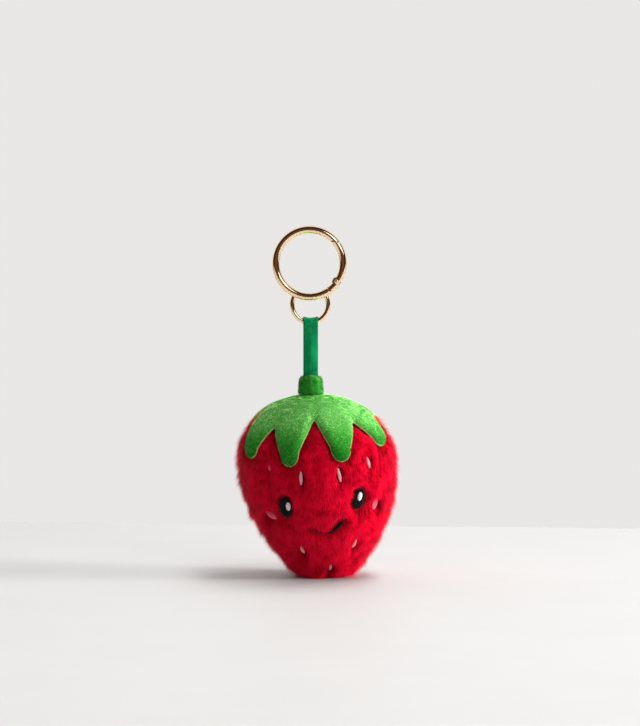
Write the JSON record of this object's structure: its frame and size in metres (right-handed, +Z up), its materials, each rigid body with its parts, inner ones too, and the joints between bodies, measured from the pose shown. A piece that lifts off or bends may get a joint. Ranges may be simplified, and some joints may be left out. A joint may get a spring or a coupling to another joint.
{
  "type": "plush keychain",
  "caption": "Small stuffed strawberry with a leafy green calyx and a stitched smiling face, on a folded ribbon from a round spring-gate ring.",
  "frame": {"origin": "top of the inside of the ring, in the middle of its wire's width, where a hook holds it up", "axes": "+Z up, the stitched face looks along -Y, +X is the side that the ring's gate is on"},
  "size_m": [0.0652, 0.061, 0.1546],
  "materials": {
    "gold": "polished pale gold plating",
    "spring_steel": "bright wire",
    "ribbon_green": "satin ribbon",
    "green_velour": "short-pile velour",
    "calyx_lining": "thin plain lining",
    "red_plush": "long-pile plush",
    "stuffing": "polyester wadding",
    "black_thread": "satin stitch",
    "white_thread": "satin stitch",
    "pink_thread": "satin stitch",
    "pale_pink_thread": "satin stitch"
  },
  "bodies": {
    "ring": {"ring_frame": "gold", "gate_rivet": "gold"},
    "gate": {"gate": "gold", "gate_spring": "spring_steel"},
    "ribbon_upper": {"ribbon_fold": "ribbon_green"},
    "ribbon_lower": {"ribbon_strap": "ribbon_green"},
    "plush": {"ribbon_tail": "ribbon_green", "stem_cover": "green_velour", "stem_stuffing": "stuffing", "calyx_top": "green_velour", "calyx_lining": "calyx_lining", "body_front": "red_plush", "body_back": "red_plush", "body_base": "red_plush", "body_stuffing": "stuffing", "eye_left": "black_thread", "eye_right": "black_thread", "eye_highlight_left": "white_thread", "eye_highlight_right": "white_thread", "cheek_left": "pink_thread", "cheek_right": "pink_thread", "mouth": "black_thread", "seed_front_1": "pale_pink_thread", "seed_front_2": "pale_pink_thread", "seed_front_3": "pale_pink_thread", "seed_front_4": "pale_pink_thread", "seed_front_5": "pale_pink_thread", "seed_front_6": "pale_pink_thread", "seed_front_7": "pale_pink_thread", "seed_back_1": "pale_pink_thread", "seed_back_2": "pale_pink_thread", "seed_back_3": "pale_pink_thread", "seed_back_4": "pale_pink_thread", "seed_back_5": "pale_pink_thread", "seed_back_6": "pale_pink_thread"}
  },
  "joints": [
    {"name": "gate_pivot", "type": "hinge", "parent": "ring", "child": "gate", "pos_m": [0.0119, 0, -0.02102], "axis": [0, -1, 0], "range_deg": [0, 28], "stiffness_Nm_per_rad": 0.03, "springref_deg": -45.84},
    {"name": "ribbon_swing", "type": "hinge", "parent": "ring", "child": "ribbon_upper", "pos_m": [0.0005, 0, -0.03863], "axis": [1, 0, 0], "range_deg": [-100, 100]},
    {"name": "ribbon_twist", "type": "hinge", "parent": "ribbon_upper", "child": "ribbon_lower", "pos_m": [0.0005, 0, -0.05], "axis": [0, 0, 1], "range_deg": [-90, 90], "stiffness_Nm_per_rad": 0.0003},
    {"name": "plush_swing", "type": "hinge", "parent": "ribbon_lower", "child": "plush", "pos_m": [0.0005, 0, -0.0616], "axis": [1, 0, 0], "range_deg": [-50, 50]}
  ]
}
